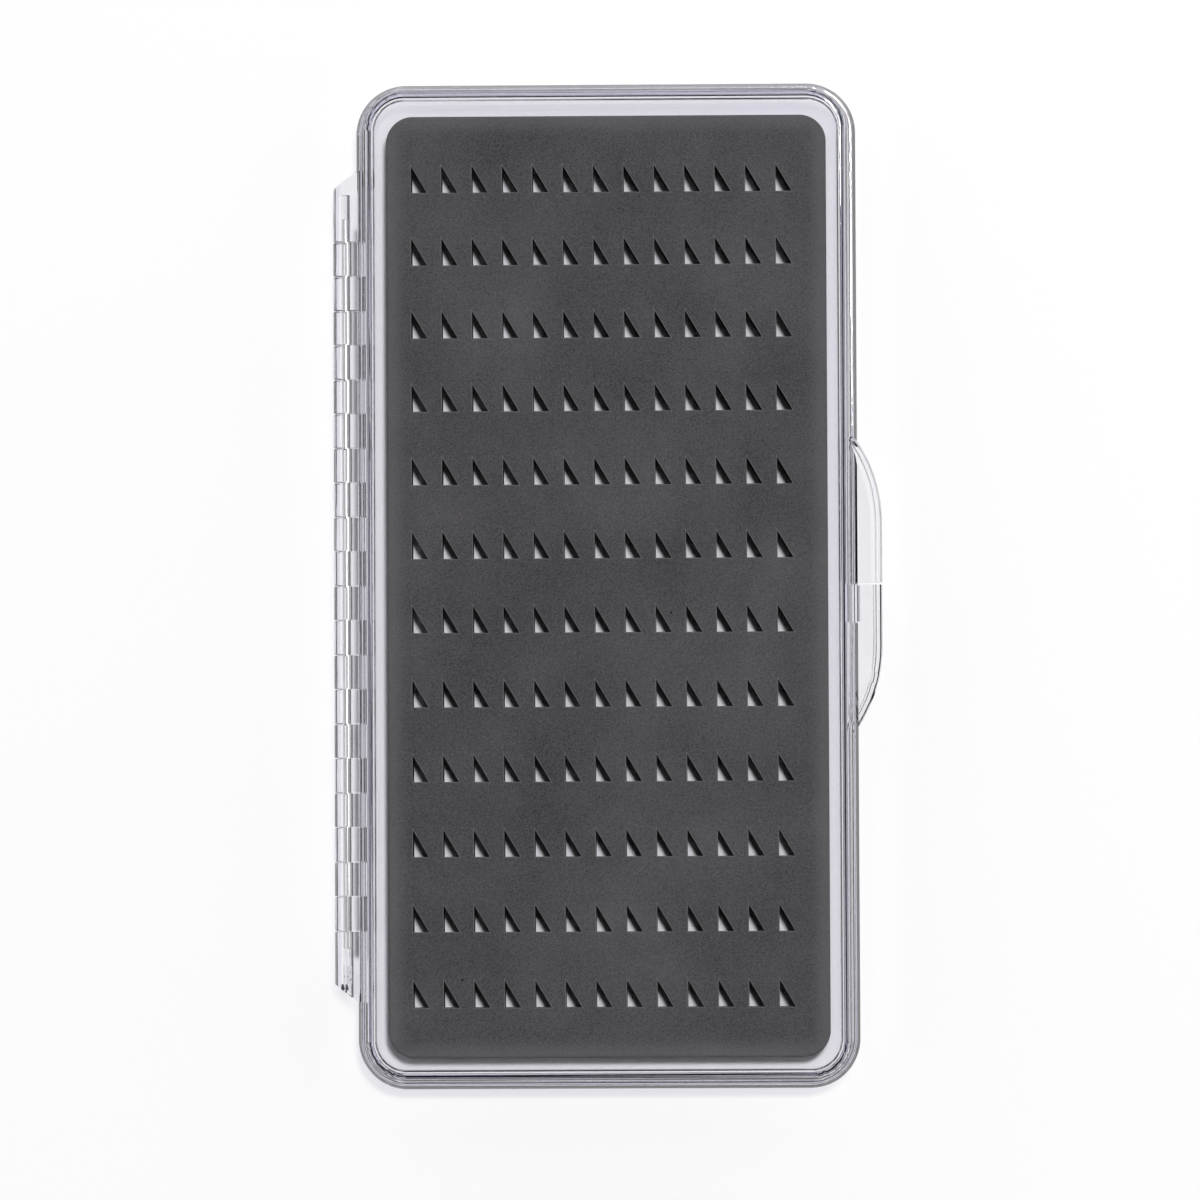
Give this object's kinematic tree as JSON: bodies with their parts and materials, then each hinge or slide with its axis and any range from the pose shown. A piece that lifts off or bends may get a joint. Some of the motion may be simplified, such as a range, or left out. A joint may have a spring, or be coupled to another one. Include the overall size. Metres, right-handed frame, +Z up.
{
  "type": "fly box",
  "caption": "Slim clear fly box: hinged lid over a flat base tray with a slotted grey foam pad, full-length pinned hinge and a pair of thumb tabs beside a snap catch.",
  "frame": {"origin": "under the centre of the whole closed box's outline, on the plane that it lies on", "axes": "+Z up out of the lid's flat face, +Y along the hinge towards the lid's end knuckle, +X towards the thumb tabs"},
  "size_m": [0.1004, 0.184, 0.016],
  "materials": {
    "clear_moulding": "clear rigid plastic, polished on every face",
    "pin_steel": "bright drawn stainless wire",
    "grey_foam": "matt closed-cell foam with a fine skin",
    "clear_film": "clear adhesive film"
  },
  "bodies": {
    "base": {"base_tray": "clear_moulding", "hinge_pin": "pin_steel", "pin_plug": "clear_moulding", "slit_foam": "grey_foam", "foam_adhesive": "clear_film"},
    "cover": {"lid": "clear_moulding"}
  },
  "joints": [
    {"name": "lid_hinge", "type": "hinge", "parent": "base", "child": "cover", "pos_m": [-0.0479, 0, 0.008], "axis": [0, -1, 0], "range_deg": [0, 180]}
  ]
}
